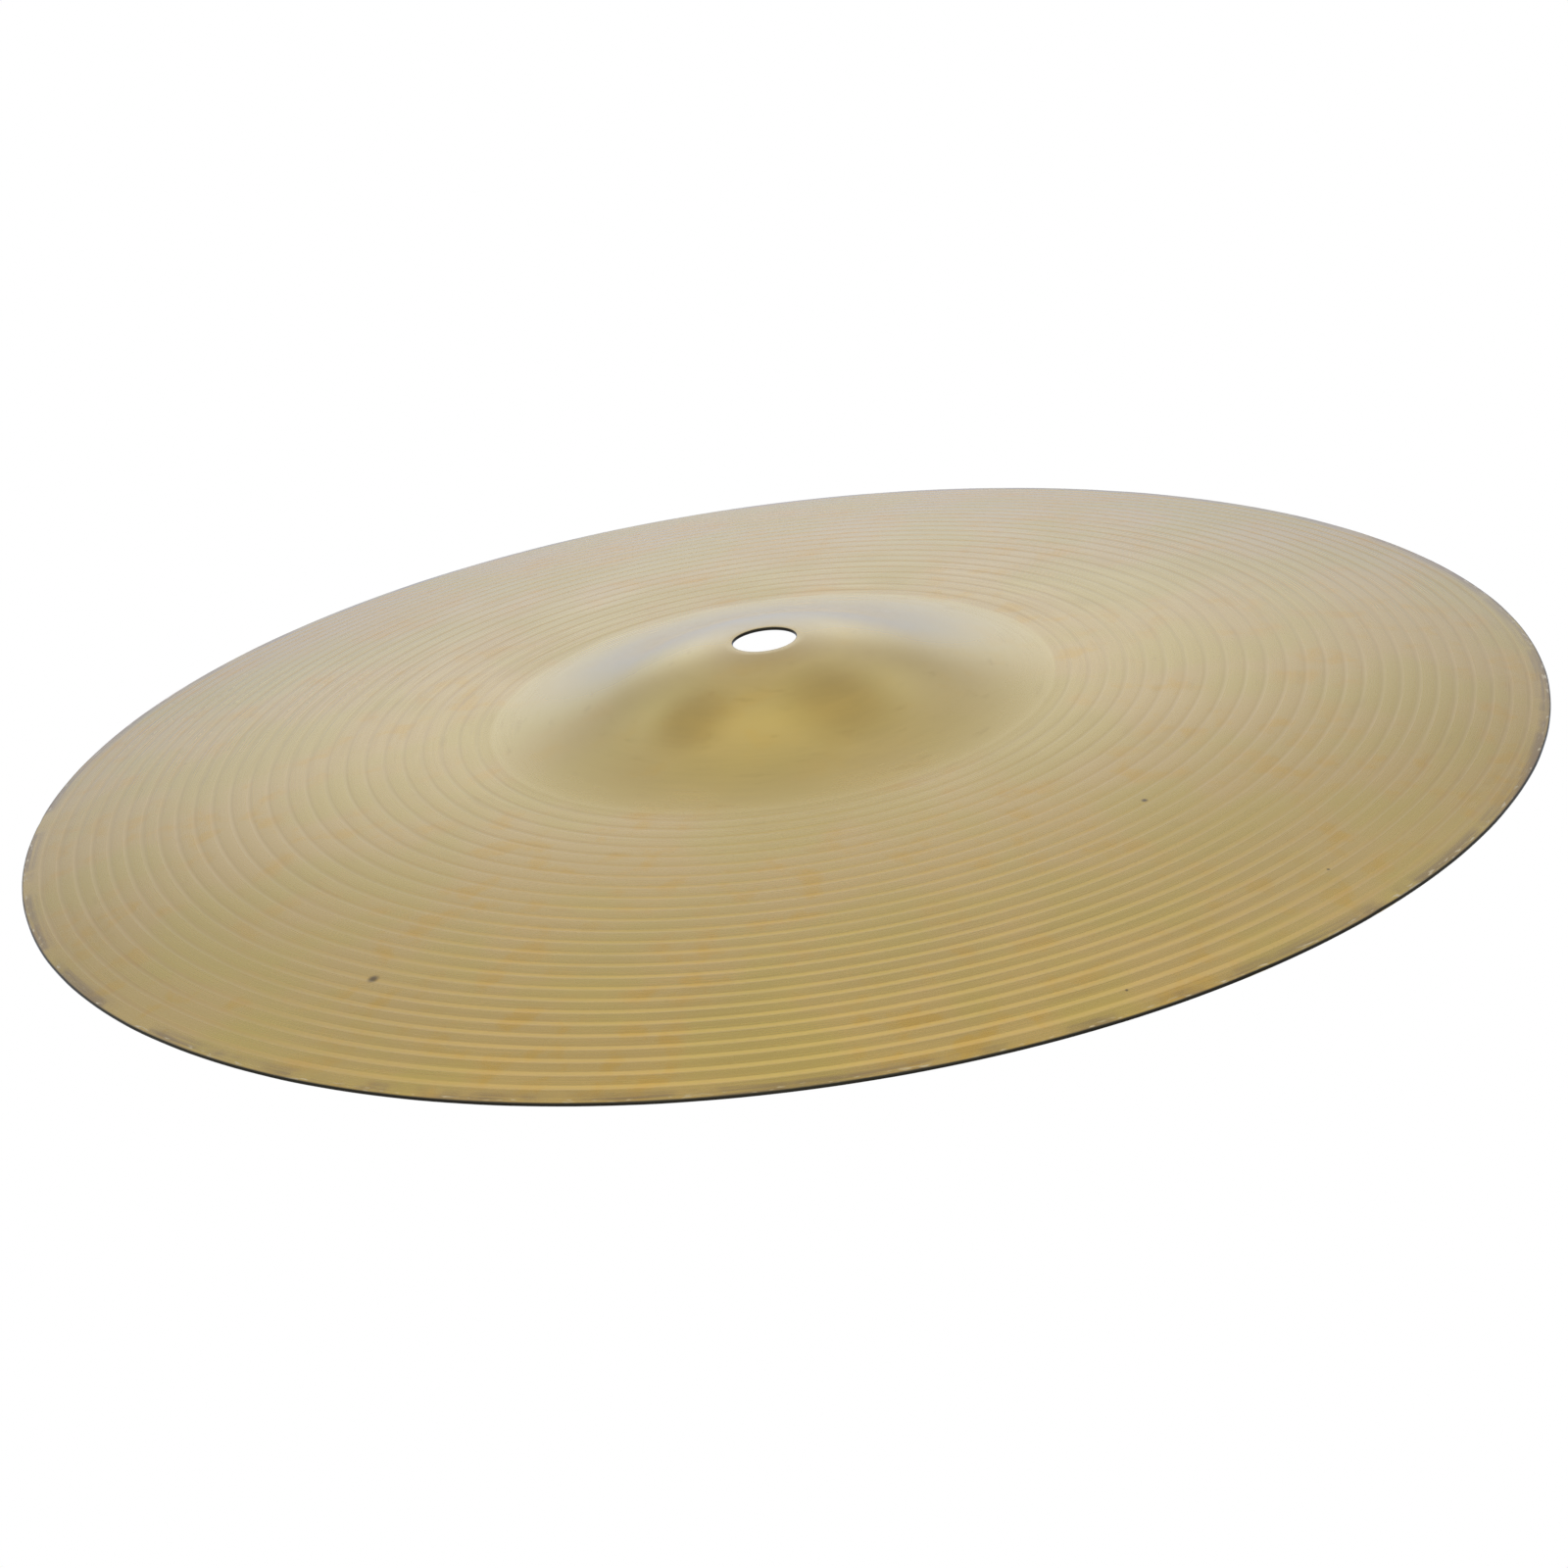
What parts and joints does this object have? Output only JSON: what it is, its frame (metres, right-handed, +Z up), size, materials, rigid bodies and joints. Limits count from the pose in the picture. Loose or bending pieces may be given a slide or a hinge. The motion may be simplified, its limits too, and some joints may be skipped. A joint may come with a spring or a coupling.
{
  "type": "crash cymbal",
  "caption": "Round spun brass cymbal with a central bell, a shallow lathed bow with tonal grooves, and a bored hole for a stand post.",
  "frame": {"origin": "on the cymbal's axis, level with the lowest edge of the rim", "axes": "+Z up along the axis, from the rim towards the bell; +X and +Y are any two square directions across the disc"},
  "size_m": [0.3048, 0.3048, 0.0261],
  "materials": {
    "brass": "lathed satin, lightly tarnished"
  },
  "bodies": {
    "root": {"cymbal": "brass"}
  },
  "joints": []
}
